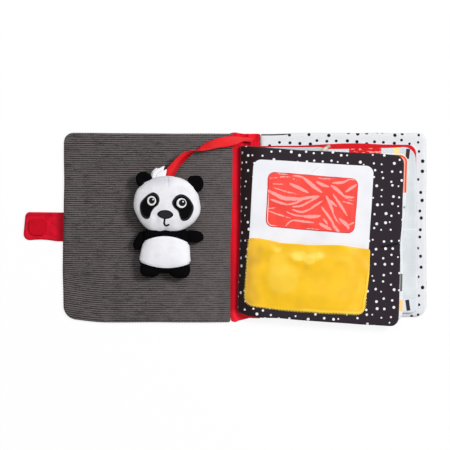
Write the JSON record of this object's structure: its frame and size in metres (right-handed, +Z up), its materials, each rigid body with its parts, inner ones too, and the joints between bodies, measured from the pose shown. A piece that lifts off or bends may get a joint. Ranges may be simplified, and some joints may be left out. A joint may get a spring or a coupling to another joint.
{
  "type": "sensory activity book",
  "caption": "Padded cloth book lying open, with a corduroy cover, dotted cloth leaves, a satin patch and pocket, a closure tab and a plush panda on a ribbon.",
  "frame": {"origin": "middle of the spine, on the surface that the open book lies on", "axes": "+Z up, +Y along the spine towards the head of the book, +X towards the fore edge of the back cover"},
  "size_m": [0.44, 0.2076, 0.0334],
  "materials": {
    "corduroy_grey": "fine corduroy, wales across the cover",
    "cover_cloth_grey": "fine corduroy",
    "wadding_white": "soft polyester wadding",
    "dotted_cloth_white": "printed plain cotton with small black dots",
    "dotted_cloth_black": "printed plain cotton with small white dots",
    "spine_cloth_red": "plain weave, slight sheen",
    "tab_cloth_red": "plain weave, slight sheen",
    "hook_tape_red": "hook tape",
    "loop_tape_red": "loop tape",
    "satin_red": "printed satin with pale strokes",
    "satin_yellow": "smooth satin, soft gloss",
    "ribbon_red": "satin ribbon",
    "plush_white": "short-pile plush",
    "plush_black": "short-pile plush",
    "felt_white": "felt",
    "thread_black": "satin-stitch embroidery",
    "thread_white": "satin-stitch embroidery"
  },
  "bodies": {
    "spine": {"spine_cloth": "spine_cloth_red", "leaves": "dotted_cloth_black", "red_patch": "satin_red", "yellow_pocket": "satin_yellow"},
    "front_cover": {"front_cover_outer": "cover_cloth_grey", "front_cover_wadding": "wadding_white", "front_cover_lining": "corduroy_grey", "panda_head": "plush_white", "panda_ear_left": "plush_black", "panda_ear_right": "plush_black", "panda_tuft": "felt_white", "panda_eye_patch_left": "thread_black", "panda_eye_patch_right": "thread_black", "panda_eye_left": "thread_white", "panda_eye_right": "thread_white", "panda_nose": "thread_black", "panda_shoulders": "plush_black", "panda_belly": "plush_white", "panda_arm_left": "plush_black", "panda_arm_right": "plush_black", "panda_leg_left": "plush_black", "panda_leg_right": "plush_black", "closure_tab": "tab_cloth_red", "tab_hook_patch": "hook_tape_red", "ribbon": "ribbon_red"},
    "back_cover": {"back_cover_outer": "cover_cloth_grey", "back_cover_wadding": "wadding_white", "back_cover_lining": "dotted_cloth_white", "back_loop_patch": "loop_tape_red"}
  },
  "joints": [
    {"name": "front_cover_hinge", "type": "hinge", "parent": "spine", "child": "front_cover", "pos_m": [0, 0, 0.0155], "axis": [0, 1, 0], "range_deg": [0, 158]},
    {"name": "back_cover_hinge", "type": "hinge", "parent": "spine", "child": "back_cover", "pos_m": [0.0155, 0, 0], "axis": [0, 1, 0], "range_deg": [0, 170]}
  ]
}
